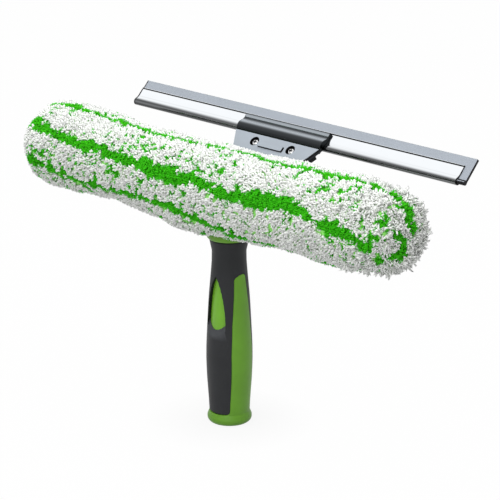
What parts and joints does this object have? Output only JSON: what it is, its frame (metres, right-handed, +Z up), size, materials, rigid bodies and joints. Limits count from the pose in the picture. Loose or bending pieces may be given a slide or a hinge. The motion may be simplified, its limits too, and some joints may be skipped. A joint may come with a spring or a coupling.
{
  "type": "window washer",
  "caption": "Two-in-one window washer: a striped microfibre sleeve on a T-bar and a squeegee blade in a locking clamp, both on one short grip that also takes an extension pole.",
  "frame": {"origin": "middle of the tool's bounding box in plan, at the level of the handle's foot", "axes": "+X along the sleeve and the squeegee, +Y towards the squeegee, +Z up the handle"},
  "size_m": [0.403, 0.1298, 0.2403],
  "materials": {
    "green_plastic": "satin-gloss injection-moulded green plastic",
    "grip_rubber": "matte charcoal soft grip",
    "black_plastic": "fine-grained matte black plastic",
    "gloss_black": "smooth dark grey plastic",
    "satin_aluminium": "satin light grey face plate with black edges",
    "button_plastic": "satin light grey top on black sides",
    "polished_steel": "polished stainless steel sheet",
    "blade_rubber": "smooth grey rubber with black cut edges",
    "microfibre_pile": "white tufted pile with bright green stripes",
    "brass_nut": "plain brass",
    "spring_steel": "bare spring wire",
    "zinc_screw": "bright zinc plating",
    "bright_screw": "bright plated screw",
    "bar_plastic": "matte black plastic",
    "closure_tape": "white hook and loop tape"
  },
  "bodies": {
    "washer_body": {"handle_core": "green_plastic", "grip_overmould": "grip_rubber", "handle_screw": "zinc_screw", "handle_screw_washer": "zinc_screw", "head_frame": "black_plastic", "clamp_jaw": "gloss_black", "clamp_plate": "satin_aluminium", "clamp_screw_left": "bright_screw", "clamp_screw_right": "bright_screw", "clamp_nut_left": "brass_nut", "clamp_nut_right": "brass_nut", "lock_spring": "spring_steel", "t_bar_front": "bar_plastic", "t_bar_back": "bar_plastic", "t_bar_cap_left": "bar_plastic", "t_bar_cap_right": "bar_plastic", "t_bar_screw_1": "zinc_screw", "t_bar_screw_2": "zinc_screw", "t_bar_screw_3": "zinc_screw", "t_bar_screw_4": "zinc_screw", "t_bar_screw_5": "zinc_screw", "t_bar_screw_6": "zinc_screw", "stem_screw_left": "zinc_screw", "stem_screw_right": "zinc_screw", "washer_sleeve": "microfibre_pile", "closure_hook_tape": "closure_tape", "closure_loop_tape": "closure_tape"},
    "lock": {"lock_button": "button_plastic"},
    "channel": {"squeegee_channel": "polished_steel"},
    "rubber": {"squeegee_rubber": "blade_rubber"}
  },
  "joints": [
    {"name": "lock_press", "type": "slide", "parent": "washer_body", "child": "lock", "axis": [0, 0.6494, -0.7604], "range_m": [0, 0.0015], "stiffness_N_per_m": 600, "springref_m": -0.002, "deforming": ["lock_spring"]},
    {"name": "channel_slide", "type": "slide", "parent": "washer_body", "child": "channel", "axis": [1, 0, 0], "range_m": [-0.228, 0.228]},
    {"name": "rubber_slide", "type": "slide", "parent": "channel", "child": "rubber", "axis": [1, 0, 0], "range_m": [-0.36, 0.36]}
  ]
}
